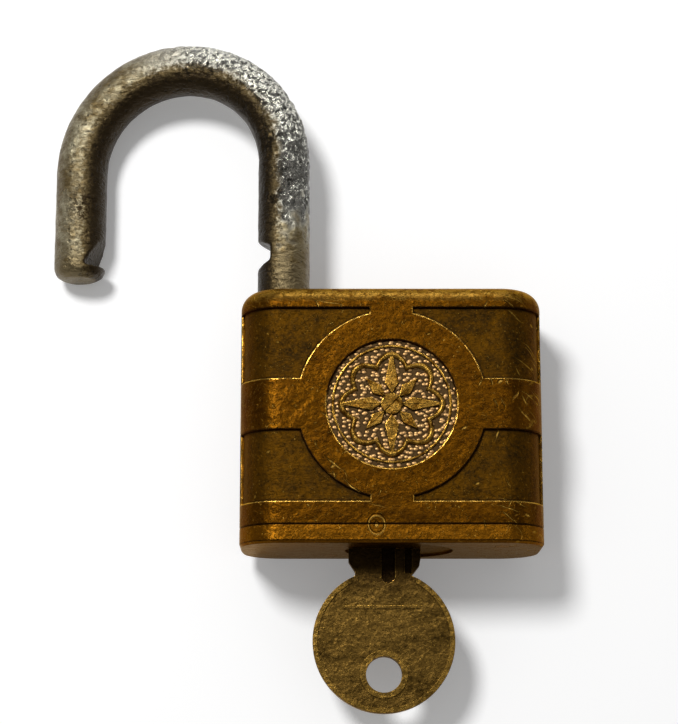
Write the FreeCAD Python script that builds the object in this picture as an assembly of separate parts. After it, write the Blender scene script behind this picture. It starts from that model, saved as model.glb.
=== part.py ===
import FreeCAD, Part
import math
import os

# Antique padlock lying on its back, shackle raised and swung aside, key in and half turned.
# X to the right, Y towards the shackle, Z up out of the front. Heights h run along Y from the bottom plate's underside.

# Driving dimensions, millimetres
CASE_WIDTH = 50.8
CASE_HEIGHT = 43.5
CASE_DEPTH = 22.0
CORNER_R = 7.0
TOP_ROUND = 3.2
PLATE_THICK = 3.05
PLATE_BEVEL = 0.45
RELIEF = 0.6
BOTTOM_BAND = 7.0
TOP_BAND = 4.0
MID_BAND = 8.8
SPINE = 8.4
NECK_WIDTH = 7.4
RING_R = 15.9
MEDAL_R = 10.8
MEDAL_H = 23.2
MEDAL_DEPTH = 0.7

SHACKLE_DIA = 9.0
LEG_TO_SIDE = 7.05
SHACKLE_LIFT = 14.0
BEND_ABOVE = 24.5
TOE_ABOVE = 4.9
LIP_ABOVE = 7.2
NOTCH_ABOVE = 7.7
HEEL_BELOW = 20.0
TOE_DOME = 1.9
TOE_NOTCH_DEEP = 2.6
HEEL_NOTCH_DEEP = 2.9
WAIST_R = 2.4
BEND_SIDES = 24
CLIP_THICK = 1.0
CLIP_GROOVE = 0.9
FOLLOWER_THICK = 1.7
SPIGOT = 2.2
SPRING_WIRE = 0.7

SHELL_X = 1.3
FACE_WALL = 2.0
EDGE_WALL = 0.8
PLUG_R = 5.2
PLUG_FRONT_R = 5.6
FACE_RECESS = 0.4
FIRST_PIN = 7.6
PIN_PITCH = 4.475
PIN_R = 1.3
HOUSING_WALL = 1.3
DRIVER_LEN = 3.3
DRIVER_SPRING = 3.4
DRIVER_WIRE = 0.3
COVER_THICK = 0.9
RIVET_R = 1.25
RIVET_END = 9.0
RIVET_OFFSET = 6.0
BLADE_SPINE = 3.4
BLADE_EDGE = 4.0
BLADE_THICK = 2.0
TIP_PAST = 2.8
PLUG_END = 3.1
FIRST_CUT = 2.7
CUT_STEP = 0.6
GROOVE_X = 0.77
GROOVE_HALF = 1.15
GROOVE_DEPTH = 0.8
KEY_THICK = 2.2
KEY_RIM = 0.25
RIM_WIDTH = 0.85
BOW_R = 11.9
BOW_H = -15.2
HOLE_H = -20.7
HOLE_R = 3.0
NECK_HALF = 4.8
SHOULDER_LEFT = 5.9
SHOULDER_RIGHT = 6.2

BOLT_STROKE = 2.1
BOLT_THICK = 4.0
BOLT_WIDTH = 6.0
ECC_R = 3.2
LOST_MOTION = 0.3
YOKE_BAR = 1.5
BOLT_GAP = 0.45
POCKET_SHARE = 0.75
CAM_RISE = 3.8
CAM_DISC = 1.5
SCREW_R = 1.1
SCREW_HEAD_R = 2.0
SCREW_HEAD = 0.9
POCKET_R = 0.9
BOLT_WIRE = 0.24

RUN = 0.05
SLACK = 0.1
GAP = 0.3

# Derived positions
Y0 = -CASE_HEIGHT / 2
MID_Z = CASE_DEPTH / 2
LEG_R = SHACKLE_DIA / 2
LEG_SPACING = CASE_WIDTH - 2 * LEG_TO_SIDE
HEEL_X = -LEG_SPACING / 2
TOE_X = LEG_SPACING / 2
BEND_CENTRE = CASE_HEIGHT + BEND_ABOVE
TOE_END = CASE_HEIGHT + TOE_ABOVE
NOTCH_CENTRE = CASE_HEIGHT + NOTCH_ABOVE
HEEL_END = CASE_HEIGHT - HEEL_BELOW
BORE_R = LEG_R + SLACK
CLIP_R = LEG_R + 0.7
COUNTER_R = CLIP_R + GAP
COIL_R = LEG_R - 0.2
CLIP_LOW = HEEL_END + 0.8
ECC = BOLT_STROKE / 2
NOTCH_CLOSED = NOTCH_CENTRE - SHACKLE_LIFT
LIP = CASE_HEIGHT + LIP_ABOVE
BOLT_LOW = NOTCH_CLOSED - BOLT_THICK / 2
BOLT_HIGH = NOTCH_CLOSED + BOLT_THICK / 2
LAP = NOTCH_CLOSED
WITHDRAWN = LEG_SPACING / 2 - LEG_R - GAP
DROOP = math.asin((MID_Z - LEG_R) / LEG_SPACING)
SWING = 180 - math.degrees(DROOP)
SHELL_R = CASE_DEPTH / 2 - FACE_WALL
PLUG_X = SHELL_X - (SHELL_R - PLUG_FRONT_R - EDGE_WALL)
SHELL_END = BOLT_LOW - CAM_RISE
BLADE_TIP = SHELL_END - PLUG_END
SCREW_END = BLADE_TIP + 1.0
PIN_COUNT = 1 + int((BLADE_TIP - TIP_PAST - FIRST_PIN) / PIN_PITCH + 0.01)
CHAMBER_REACH = ECC_R + 1.5 * BOLT_STROKE + LOST_MOTION + YOKE_BAR + 0.15
HOUSING_HALF = PIN_R + HOUSING_WALL


def vec(x, h, z):
    return FreeCAD.Vector(x, Y0 + h, z)


def box(x0, x1, h0, h1, z0, z1):
    return Part.makeBox(x1 - x0, h1 - h0, z1 - z0, vec(x0, h0, z0))


def rod(r, h0, h1, x, z=MID_Z):
    return Part.makeCylinder(r, h1 - h0, vec(x, h0, z), FreeCAD.Vector(0, 1, 0))


def cone(r0, r1, h0, h1, x, z=MID_Z):
    return Part.makeCone(r0, r1, h1 - h0, vec(x, h0, z), FreeCAD.Vector(0, 1, 0))


def rod_x(r, x0, x1, h, z=MID_Z):
    return Part.makeCylinder(r, x1 - x0, vec(x0, h, z), FreeCAD.Vector(1, 0, 0))


def disc(r, z0, z1, x, h):
    return Part.makeCylinder(r, z1 - z0, vec(x, h, z0), FreeCAD.Vector(0, 0, 1))


def plate_shape(points, z0, z1):
    ring = [vec(x, h, z0) for x, h in points]
    face = Part.Face(Part.makePolygon(ring + ring[:1]))
    return face.extrude(FreeCAD.Vector(0, 0, z1 - z0))


def joined(shapes):
    body = shapes[0]
    for other in shapes[1:]:
        body = body.fuse(other)
    return body.removeSplitter()


def spring(radius, wire, start, end, turns, direction, steps=8, sides=3):
    """Helical spring built from flat facets, coil centres running from start to end."""
    turn = FreeCAD.Rotation(FreeCAD.Vector(0, 0, 1), direction)
    count = turns * steps
    rings = []
    for i in range(count + 1):
        a = 2 * math.pi * i / steps
        along = (end - start).Length * i / count
        ring = []
        for k in range(sides):
            b = 2 * math.pi * (k + 0.5) / sides
            out = radius + wire / 2 * math.cos(b)
            local = FreeCAD.Vector(out * math.cos(a), out * math.sin(a), along + wire / 2 * math.sin(b))
            ring.append(start + turn.multVec(local))
        rings.append(ring)
    corners = []
    for low, high in zip(rings, rings[1:]):
        for k in range(sides):
            n = (k + 1) % sides
            corners.append((low[k], low[n], high[n]))
            corners.append((low[k], high[n], high[k]))
    for k in range(1, sides - 1):
        corners.append((rings[0][0], rings[0][k], rings[0][k + 1]))
        corners.append((rings[-1][0], rings[-1][k + 1], rings[-1][k]))
    faces = [Part.Face(Part.makePolygon([p, q, r, p])) for p, q, r in corners]
    shell = Part.makeShell(faces)
    shell.sewShape()
    coil = Part.makeSolid(shell)
    if coil.Volume < 0:
        coil.reverse()
    return coil


# Case

def plan(inset, h0, h1):
    """Rounded outline of the case seen from below, set in by inset."""
    a, b, r = CASE_WIDTH / 2 - inset, CASE_DEPTH / 2 - inset, CORNER_R - inset
    k = r * (1 - math.sqrt(0.5))
    parts = []
    for sx, sz in ((1, 1), (-1, 1), (-1, -1), (1, -1)):
        side = vec(sx * a, h0, MID_Z + sz * (b - r))
        flat = vec(sx * (a - r), h0, MID_Z + sz * b)
        middle = vec(sx * (a - k), h0, MID_Z + sz * (b - k))
        ends = (side, flat) if sx * sz > 0 else (flat, side)
        parts.append((ends[0], middle, ends[1]))
    edges = []
    for i, (start, middle, end) in enumerate(parts):
        edges.append(Part.Arc(start, middle, end).toShape())
        edges.append(Part.makeLine(end, parts[(i + 1) % 4][0]))
    return Part.Face(Part.Wire(edges)).extrude(FreeCAD.Vector(0, h1 - h0, 0))


def edges_at(shape, h):
    return [e for e in shape.Edges if all(abs(v.Point.y - Y0 - h) < 1e-6 for v in e.Vertexes)]


def panel_field():
    """Prisms over the sunk panels, between the bands and outside the ring."""
    wide = CASE_WIDTH
    rows = [(BOTTOM_BAND, MEDAL_H - MID_BAND / 2), (MEDAL_H + MID_BAND / 2, CASE_HEIGHT - TOP_BAND)]
    solids = []
    for z0, z1 in ((MID_Z + SPINE / 2, CASE_DEPTH + 1), (-1, MID_Z - SPINE / 2)):
        for low, high in rows:
            row = box(-wide, wide, low, high, z0, z1)
            row = row.cut(box(-NECK_WIDTH / 2, NECK_WIDTH / 2, low - 1, high + 1, z0 - 1, z1 + 1))
            solids.append(row.cut(disc(RING_R, z0 - 1, z1 + 1, 0, MEDAL_H)))
    return Part.makeCompound([s for row in solids for s in row.Solids])


def rosette():
    """Raised eight-pointed ornament on the medallion's ground."""
    ground = CASE_DEPTH - MEDAL_DEPTH
    top = ground + MEDAL_DEPTH * 0.65
    shapes = []
    for i in range(8):
        reach, half = (0.86, 0.11) if i % 2 == 0 else (0.58, 0.10)
        a = math.radians(45 * i + 90)
        points = []
        for along, side in ((0.14, 0), (0.32, half), (reach, 0), (0.32, -half)):
            u, w = along * MEDAL_R, side * MEDAL_R
            points.append((u * math.cos(a) - w * math.sin(a), MEDAL_H + u * math.sin(a) + w * math.cos(a)))
        shapes.append(plate_shape(points, ground - 0.2, top))
    shapes.append(disc(MEDAL_R * 0.17, ground - 0.2, top, 0, MEDAL_H))
    shapes.append(disc(MEDAL_R * 0.93, ground - 0.2, ground + 0.25, 0, MEDAL_H).cut(
        disc(MEDAL_R * 0.885, ground - 0.3, top, 0, MEDAL_H)))
    return shapes


def heel_bore():
    shoulder = CLIP_LOW + CLIP_THICK + SLACK
    mouth = cone(BORE_R, BORE_R + 0.5, CASE_HEIGHT - 0.5, CASE_HEIGHT + 0.001, HEEL_X)
    return [rod(COUNTER_R, PLATE_THICK - 1, shoulder, HEEL_X), rod(BORE_R, shoulder - 1, CASE_HEIGHT + 1, HEEL_X), mouth]


def toe_socket():
    mouth = cone(BORE_R + 0.05, BORE_R + 0.55, CASE_HEIGHT - 0.5, CASE_HEIGHT + 0.001, TOE_X)
    return [rod(BORE_R + 0.05, TOE_END - SHACKLE_LIFT - 0.7, CASE_HEIGHT + 1, TOE_X), mouth]


def cylinder_profile(grow, h0, h1):
    """Round cylinder with its pin housing on the right."""
    half = HOUSING_HALF + grow
    reach = PLUG_X + cover_face() + COVER_THICK
    return joined([rod(SHELL_R + grow, h0, h1, SHELL_X), box(SHELL_X, reach + grow, h0, h1, MID_Z - half, MID_Z + half)])


def cover_face():
    """Distance from the plug axis to the inner face of the chamber cover."""
    return max(PLUG_R + RUN + DRIVER_LEN + DRIVER_SPRING, SHELL_X + SHELL_R + GAP - PLUG_X)


def chamber_half():
    return max(PLUG_R + 1.2, ECC_R + ECC + SLACK + YOKE_BAR + GAP)


def make_case():
    body = plan(0, PLATE_THICK, CASE_HEIGHT)
    body = body.makeFillet(TOP_ROUND, edges_at(body, CASE_HEIGHT))
    shell = plan(0, 0, CASE_HEIGHT).cut(plan(RELIEF, -1, CASE_HEIGHT + 1))
    body = body.cut(shell.common(panel_field()))
    body = body.cut(disc(MEDAL_R, CASE_DEPTH - MEDAL_DEPTH, CASE_DEPTH + 1, 0, MEDAL_H))
    body = joined([body] + rosette())
    half = chamber_half()
    tools = heel_bore() + toe_socket()
    tools.append(cylinder_profile(SLACK, PLATE_THICK - 1, SHELL_END + 0.1))
    tools.append(box(PLUG_X - CHAMBER_REACH, PLUG_X + CHAMBER_REACH, SHELL_END, BOLT_HIGH + GAP, MID_Z - half, MID_Z + half))
    slot = BOLT_WIDTH / 2 + SLACK
    tools.append(box(HEEL_X, PLUG_X - CHAMBER_REACH + GAP, BOLT_LOW - SLACK, BOLT_HIGH + SLACK, MID_Z - slot, MID_Z + slot))
    tools.append(box(PLUG_X + CHAMBER_REACH - GAP, TOE_X, BOLT_LOW - SLACK, BOLT_HIGH + SLACK, MID_Z - slot, MID_Z + slot))
    for x, z in rivet_places():
        tools.append(rod(RIVET_R, PLATE_THICK - 1, RIVET_END, x, z))
    for tool in tools:
        body = body.cut(tool)
    return body


def rivet_places():
    between = (HEEL_X + COUNTER_R + SHELL_X - SHELL_R) / 2
    return [(between, MID_Z - RIVET_OFFSET), (TOE_X, MID_Z + RIVET_OFFSET)]


def make_bottom_plate():
    body = plan(0, 0, PLATE_THICK)
    body = body.makeChamfer(PLATE_BEVEL, edges_at(body, 0))
    body = body.cut(rod(SHELL_R + RUN, -1, PLATE_THICK + 1, SHELL_X))
    for x, z in rivet_places():
        body = body.cut(rod(RIVET_R, -1, PLATE_THICK + 1, x, z))
    return body


def make_rivet(x, z):
    return rod(RIVET_R, 0, RIVET_END, x, z)


# Cylinder, plug and pins

def pin_heights():
    return [FIRST_PIN + i * PIN_PITCH for i in range(PIN_COUNT)]


def make_cylinder_shell():
    body = rod(SHELL_R, FACE_RECESS, SHELL_END, SHELL_X)
    reach = PLUG_X + cover_face()
    housing = box(SHELL_X, reach, PLATE_THICK + RUN, SHELL_END, MID_Z - HOUSING_HALF, MID_Z + HOUSING_HALF)
    body = joined([body, housing])
    body = body.cut(rod(PLUG_R + RUN, FACE_RECESS - 1, SHELL_END + 1, PLUG_X))
    body = body.cut(rod(PLUG_FRONT_R + RUN, FACE_RECESS - 1, PLATE_THICK + RUN, PLUG_X))
    for h in pin_heights():
        body = body.cut(rod_x(PIN_R + RUN, PLUG_X, reach + 1, h))
    return body


def make_chamber_cover():
    reach = PLUG_X + cover_face()
    return box(reach, reach + COVER_THICK, PLATE_THICK + RUN, SHELL_END, MID_Z - HOUSING_HALF, MID_Z + HOUSING_HALF)


def make_driver_pin(i):
    start = PLUG_X + PLUG_R + 0.03
    return rod_x(PIN_R, start, start + DRIVER_LEN, pin_heights()[i])


def make_driver_spring(i):
    start = vec(PLUG_X + PLUG_R + 0.03 + DRIVER_LEN + 0.17, pin_heights()[i], MID_Z)
    end = vec(PLUG_X + cover_face() - 0.15, pin_heights()[i], MID_Z)
    return spring(PIN_R - 0.1 - DRIVER_WIRE / 2, DRIVER_WIRE, start, end, 4, FreeCAD.Vector(1, 0, 0))


def cut_height(i):
    return FIRST_CUT - i * CUT_STEP


def blade_points(grow):
    """Blade outline as (x, h): straight back, edge stepping down towards the tip."""
    points = [(PLUG_X + BLADE_SPINE, FACE_RECESS), (PLUG_X + BLADE_SPINE, BLADE_TIP - 1.6),
              (PLUG_X + BLADE_SPINE - 1.6, BLADE_TIP)]
    flat = PIN_PITCH * 0.19
    last = cut_height(PIN_COUNT - 1)
    points.append((PLUG_X - last + 1.2, BLADE_TIP))
    for i in reversed(range(PIN_COUNT)):
        h = pin_heights()[i]
        x = PLUG_X - cut_height(i)
        if i == PIN_COUNT - 1:
            points.append((x, h + flat + 1.0))
        else:
            points.append((x, h + flat))
        points.append((x, h - flat))
    points.append((PLUG_X - BLADE_EDGE, pin_heights()[0] - flat - 2.0))
    points.append((PLUG_X - BLADE_EDGE, FACE_RECESS))
    return points


def make_plug():
    body = joined([rod(PLUG_R, FACE_RECESS, SHELL_END + 0.1, PLUG_X), rod(PLUG_FRONT_R, FACE_RECESS, PLATE_THICK, PLUG_X)])
    half = BLADE_THICK / 2 + SLACK
    body = body.cut(box(PLUG_X - BLADE_EDGE - SLACK, PLUG_X + BLADE_SPINE + SLACK, FACE_RECESS - 1, BLADE_TIP + 0.4,
                        MID_Z - half, MID_Z + half))
    gx = PLUG_X + GROOVE_X
    ward = box(gx - GROOVE_HALF + SLACK, gx + GROOVE_HALF - SLACK, FACE_RECESS, BLADE_TIP + 0.4,
               MID_Z + BLADE_THICK / 2 - GROOVE_DEPTH + SLACK, MID_Z + half + 0.2)
    body = joined([body, ward])
    for i, h in enumerate(pin_heights()):
        body = body.cut(rod_x(PIN_R + RUN, PLUG_X - PLUG_R - 1, PLUG_X - cut_height(i) + 1.0, h))
    return body.cut(rod(SCREW_R, SCREW_END, SHELL_END + 1, PLUG_X))


def make_key_pin(i):
    h = pin_heights()[i]
    tip = PLUG_X - cut_height(i) - 0.03
    shoulder = tip - 0.6
    point = Part.makeCone(0.5, PIN_R, 0.6, vec(tip, h, MID_Z), FreeCAD.Vector(-1, 0, 0))
    top = PLUG_X - math.sqrt(PLUG_R ** 2 - PIN_R ** 2)
    return joined([point, rod_x(PIN_R, top, shoulder, h)])


def make_cam():
    low = SHELL_END + 0.1
    top = BOLT_HIGH + 0.1
    parts = [rod(PLUG_R + 1.0, low, low + CAM_DISC, PLUG_X),
             rod(ECC_R + 0.6, low + CAM_DISC - 0.1, BOLT_LOW - SLACK, PLUG_X),
             rod(ECC_R, BOLT_LOW - SLACK - 0.1, LAP, PLUG_X - ECC),
             rod(ECC_R, LAP, top, PLUG_X + ECC)]
    body = joined(parts)
    body = body.cut(rod(SCREW_R, low - 1, top + 1, PLUG_X))
    return body.cut(rod(SCREW_HEAD_R, top - SCREW_HEAD, top + 1, PLUG_X))


def make_cam_screw():
    top = BOLT_HIGH + 0.1
    head = rod(SCREW_HEAD_R, top - SCREW_HEAD, top, PLUG_X)
    body = joined([rod(SCREW_R, SCREW_END, top - SCREW_HEAD / 2, PLUG_X), head])
    slot = SCREW_HEAD_R + 1
    return body.cut(box(PLUG_X - slot, PLUG_X + slot, top - SCREW_HEAD * 0.45, top + 1, MID_Z - 0.25, MID_Z + 0.25))


# Bolts

def yoke(centre, h0, h1):
    """Frame with a window round one eccentric, long enough for its sideways travel."""
    inner_x = ECC_R + LOST_MOTION
    inner_z = ECC_R + ECC + SLACK
    outer_x = inner_x + YOKE_BAR
    outer_z = inner_z + YOKE_BAR
    frame = box(centre - outer_x, centre + outer_x, h0, h1, MID_Z - outer_z, MID_Z + outer_z)
    return frame.cut(box(centre - inner_x, centre + inner_x, h0 - 1, h1 + 1, MID_Z - inner_z, MID_Z + inner_z))


def pocket_start():
    """Distance from the plug axis to the shoulder that faces the other bolt's yoke."""
    return ECC + ECC_R + LOST_MOTION + YOKE_BAR + BOLT_GAP


def pocket_deep():
    """Depth of the spring pocket, a share of the shorter bolt's length past its shoulder."""
    return (WITHDRAWN + PLUG_X - pocket_start()) * POCKET_SHARE


def make_toe_bolt():
    centre = PLUG_X - ECC
    side = centre + ECC_R + LOST_MOTION
    step = LIP - SHACKLE_LIFT + 0.15
    shoulder = PLUG_X + pocket_start()
    lap = yoke(centre, BOLT_LOW, LAP - RUN)
    arm = box(side, shoulder + 1, BOLT_LOW, LAP - RUN, MID_Z - BOLT_WIDTH / 2, MID_Z + BOLT_WIDTH / 2)
    nose = [(shoulder, BOLT_LOW), (WITHDRAWN - BOLT_STROKE + 0.1, BOLT_LOW), (WITHDRAWN - BOLT_STROKE + 0.1, step),
            (WITHDRAWN, step), (WITHDRAWN, step + 1.05), (WITHDRAWN - 1.2, BOLT_HIGH), (shoulder, BOLT_HIGH)]
    shank = plate_shape(nose, MID_Z - BOLT_WIDTH / 2, MID_Z + BOLT_WIDTH / 2)
    body = joined([lap, arm, shank])
    return body.cut(rod_x(POCKET_R, shoulder - 1, shoulder + pocket_deep(), LAP + BOLT_THICK / 4))


def make_heel_bolt():
    centre = PLUG_X + ECC
    side = centre - ECC_R - LOST_MOTION
    shoulder = PLUG_X - pocket_start()
    lap = yoke(centre, LAP + RUN, BOLT_HIGH)
    arm = box(shoulder - 1, side, LAP + RUN, BOLT_HIGH, MID_Z - BOLT_WIDTH / 2, MID_Z + BOLT_WIDTH / 2)
    tip = -WITHDRAWN
    nose = [(shoulder, BOLT_LOW), (tip + 1.0, BOLT_LOW), (tip, BOLT_LOW + 0.45), (tip, BOLT_HIGH - 0.45),
            (tip + 1.0, BOLT_HIGH), (shoulder, BOLT_HIGH)]
    shank = plate_shape(nose, MID_Z - BOLT_WIDTH / 2, MID_Z + BOLT_WIDTH / 2)
    body = joined([lap, arm, shank])
    return body.cut(rod_x(POCKET_R, shoulder - pocket_deep(), shoulder + 1, LAP - BOLT_THICK / 4))


def make_bolt_spring(side):
    h = LAP + side * BOLT_THICK / 4
    start = vec(PLUG_X + side * (pocket_start() - BOLT_GAP + BOLT_WIRE * 0.6), h, MID_Z)
    end = vec(PLUG_X + side * (pocket_start() + pocket_deep() - BOLT_WIRE * 0.6), h, MID_Z)
    return spring(POCKET_R - 0.16 - BOLT_WIRE / 2, BOLT_WIRE, start, end, 5, FreeCAD.Vector(side, 0, 0))


# Shackle, built closed over the socket, then swung aside

def swung(shape):
    shape.rotate(vec(HEEL_X, 0, MID_Z), FreeCAD.Vector(0, 1, 0), SWING)
    return shape


def toe_leg():
    leg = rod(LEG_R, TOE_END + TOE_DOME, BEND_CENTRE, TOE_X)
    points = [(LEG_R, TOE_DOME), (LEG_R - 0.5, TOE_DOME * 0.47), (LEG_R - 1.6, TOE_DOME * 0.1), (0, 0)]
    profile = [vec(TOE_X, TOE_END + TOE_DOME, MID_Z)] + [vec(TOE_X + r, TOE_END + h, MID_Z) for r, h in points]
    face = Part.Face(Part.makePolygon(profile + profile[:1]))
    return leg.fuse(face.revolve(vec(TOE_X, 0, MID_Z), FreeCAD.Vector(0, 1, 0), 360))


def make_shackle():
    heel = rod(LEG_R, HEEL_END, BEND_CENTRE, HEEL_X)
    ring = []
    for i in range(BEND_SIDES + 1):
        a = 2 * math.pi * i / BEND_SIDES
        ring.append(vec(TOE_X + LEG_R * math.cos(a), BEND_CENTRE, MID_Z + LEG_R * math.sin(a)))
    ring = Part.Face(Part.makePolygon(ring))
    bend = ring.revolve(vec(0, BEND_CENTRE, MID_Z), FreeCAD.Vector(0, 0, 1), 180)
    body = joined([heel, bend, toe_leg()])
    wide = LEG_R + 1
    half = BOLT_THICK / 2
    waist = rod(wide, BOLT_LOW - 1.1, BOLT_HIGH + 1.0, HEEL_X).cut(rod(WAIST_R, BOLT_LOW - 2, BOLT_HIGH + 2, HEEL_X))
    body = body.cut(waist)
    groove = rod(wide, CLIP_LOW, CLIP_LOW + CLIP_THICK, HEEL_X)
    groove = groove.cut(rod(LEG_R - CLIP_GROOVE, CLIP_LOW - 1, CLIP_LOW + CLIP_THICK + 1, HEEL_X))
    body = body.cut(groove)
    face = HEEL_X + LEG_R
    bottom = face - HEEL_NOTCH_DEEP
    heel_notch = [(bottom, NOTCH_CENTRE - half + 0.75), (face + 0.4, NOTCH_CENTRE - half - 0.8),
                  (face + 0.4, NOTCH_CENTRE + half + 0.8), (bottom, NOTCH_CENTRE + half - 0.75)]
    body = body.cut(plate_shape(heel_notch, MID_Z - wide, MID_Z + wide))
    face = TOE_X - LEG_R
    bottom = face + TOE_NOTCH_DEEP
    toe_notch = [(face - 0.5, LIP), (bottom, LIP), (bottom, LIP + 0.4), (face, LIP + 5.2), (face - 0.5, LIP + 6.1)]
    body = body.cut(plate_shape(toe_notch, MID_Z - wide, MID_Z + wide))
    return swung(body)


def make_heel_clip():
    inner, low, high = LEG_R - CLIP_GROOVE, CLIP_LOW, CLIP_LOW + CLIP_THICK
    body = rod(CLIP_R, low, high, HEEL_X).cut(rod(inner, low - 1, high + 1, HEEL_X))
    return swung(body.cut(box(HEEL_X, HEEL_X + CLIP_R + 1, low - 1, high + 1, MID_Z - LEG_R * 0.45, MID_Z + LEG_R * 0.45)))


def make_heel_follower():
    seat = HEEL_END - FOLLOWER_THICK
    spigot = rod(COIL_R - SPRING_WIRE / 2 - GAP * 2, seat - SPIGOT, seat + 0.1, HEEL_X)
    return joined([rod(CLIP_R, seat, HEEL_END, HEEL_X), spigot])


def make_shackle_spring():
    start = vec(HEEL_X, PLATE_THICK + SPRING_WIRE / 2, MID_Z)
    end = vec(HEEL_X, HEEL_END - FOLLOWER_THICK - SPRING_WIRE / 2, MID_Z)
    return spring(COIL_R, SPRING_WIRE, start, end, 5, FreeCAD.Vector(0, 1, 0), 14, 4)


# Key

def make_key():
    x = PLUG_X
    half = KEY_THICK / 2
    low, high = MID_Z - half, MID_Z + half
    top = FACE_RECESS - 0.05
    bow = disc(BOW_R, low, high, x, BOW_H)
    neck = NECK_HALF
    bar = BOW_R * 0.56
    right, left = x + SHOULDER_RIGHT, x - SHOULDER_LEFT
    outline = [(x - neck, BOW_H + BOW_R * 0.75), (x + neck, BOW_H + BOW_R * 0.75), (x + neck, -4.1), (right - 0.2, -2.6),
               (right, -1.4), (right, top), (left, top), (left, -1.9), (x - neck, -3.6)]
    parts = [bow, plate_shape(outline, low, high)]
    blade = plate_shape(blade_points(0), MID_Z - BLADE_THICK / 2, MID_Z + BLADE_THICK / 2)
    parts.append(blade.fuse(box(x - BLADE_EDGE, x + BLADE_SPINE, top - 1, FACE_RECESS + 0.1, MID_Z - BLADE_THICK / 2,
                                MID_Z + BLADE_THICK / 2)))
    for z0, z1 in ((high - 0.3, high + KEY_RIM), (low - KEY_RIM, low + 0.3)):
        rim = disc(BOW_R, z0, z1, x, BOW_H).cut(disc(BOW_R - RIM_WIDTH, z0 - 1, z1 + 1, x, BOW_H))
        rim = rim.cut(box(x - neck - 0.6, x + neck + 0.6, BOW_H + BOW_R * 0.65, BOW_H + BOW_R + 1, z0 - 1, z1 + 1))
        parts.append(rim)
        parts.append(disc(HOLE_R + 1.0, z0, z1, x, HOLE_H))
        parts.append(box(x - bar, x + bar, BOW_H + BOW_R * 0.45, BOW_H + BOW_R * 0.5, z0, z1 - 0.05))
    body = joined(parts)
    body = body.cut(disc(HOLE_R, low - 1, high + 1, x, HOLE_H))
    groove_x = x + GROOVE_X
    front = MID_Z + BLADE_THICK / 2 - GROOVE_DEPTH
    end = BOW_H + BOW_R * 0.91
    groove = box(groove_x - GROOVE_HALF, groove_x + GROOVE_HALF, end, BLADE_TIP + 1, front, high + 1)
    body = body.cut(groove)
    body = body.cut(disc(GROOVE_HALF, front, high + 1, groove_x, end))
    side = box(x + NECK_HALF - 1.25, x + NECK_HALF - 0.05, -3.9, top + 1, front, high + 1)
    return body.cut(side)


os.makedirs("parts", exist_ok=True)

pieces = {
    "case": make_case(),
    "bottom_plate": make_bottom_plate(),
    "cylinder_shell": make_cylinder_shell(),
    "chamber_cover": make_chamber_cover(),
    "plug": make_plug(),
    "cam": make_cam(),
    "cam_screw": make_cam_screw(),
    "toe_bolt": make_toe_bolt(),
    "heel_bolt": make_heel_bolt(),
    "bolt_spring_1": make_bolt_spring(1),
    "bolt_spring_2": make_bolt_spring(-1),
    "shackle": make_shackle(),
    "heel_clip": make_heel_clip(),
    "heel_follower": make_heel_follower(),
    "shackle_spring": make_shackle_spring(),
    "key": make_key(),
}
for n, place in enumerate(rivet_places()):
    pieces["plate_rivet_%d" % (n + 1)] = make_rivet(*place)
for n in range(PIN_COUNT):
    pieces["key_pin_%d" % (n + 1)] = make_key_pin(n)
    pieces["driver_pin_%d" % (n + 1)] = make_driver_pin(n)
    pieces["driver_spring_%d" % (n + 1)] = make_driver_spring(n)

for name, shape in pieces.items():
    shape.exportStep("parts/%s.step" % name)
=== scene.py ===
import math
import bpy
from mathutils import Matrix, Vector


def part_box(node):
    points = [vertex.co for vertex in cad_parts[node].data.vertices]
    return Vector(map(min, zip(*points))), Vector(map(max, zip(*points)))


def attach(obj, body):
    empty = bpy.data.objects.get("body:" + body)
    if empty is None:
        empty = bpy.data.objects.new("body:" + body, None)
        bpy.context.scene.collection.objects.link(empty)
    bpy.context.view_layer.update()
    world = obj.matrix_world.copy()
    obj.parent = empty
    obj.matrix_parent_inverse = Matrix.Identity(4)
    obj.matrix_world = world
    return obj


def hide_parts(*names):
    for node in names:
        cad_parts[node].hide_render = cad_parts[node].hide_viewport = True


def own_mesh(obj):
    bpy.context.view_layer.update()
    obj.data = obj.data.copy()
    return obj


bl_info = {
    "name": "Antique Brass Padlock",
    "version": (1, 0, 0),
    "blender": (4, 5, 0),
    "location": "View3D > Sidebar > Padlock",
    "description": "Dresses an old brass padlock, its shackle raised and swung aside and its key in",
    "category": "Add Mesh",
}

import bmesh
import bpy
from bpy.props import FloatProperty, FloatVectorProperty, IntProperty, PointerProperty
from mathutils import Euler, Matrix, Vector, noise

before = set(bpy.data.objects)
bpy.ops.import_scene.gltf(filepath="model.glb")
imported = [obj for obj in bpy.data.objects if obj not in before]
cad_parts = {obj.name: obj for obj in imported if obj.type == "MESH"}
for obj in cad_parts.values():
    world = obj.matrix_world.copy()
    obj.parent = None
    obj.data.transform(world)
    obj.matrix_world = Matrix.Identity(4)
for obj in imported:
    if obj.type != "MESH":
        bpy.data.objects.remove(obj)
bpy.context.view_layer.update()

# Places read from the frame, in metres
MM = 0.001
CASE_LOW, CASE_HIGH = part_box("case")
PLATE_LOW, PLATE_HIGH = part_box("bottom_plate")
KEY_LOW, KEY_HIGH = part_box("key")
SHACKLE_LOW, SHACKLE_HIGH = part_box("shackle")
SPRING_LOW, SPRING_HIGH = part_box("shackle_spring")
UNDERSIDE = PLATE_LOW.y
FRONT = CASE_HIGH.z
MIDDLE = (CASE_LOW.z + CASE_HIGH.z) / 2
SEAM = PLATE_HIGH.y

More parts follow.
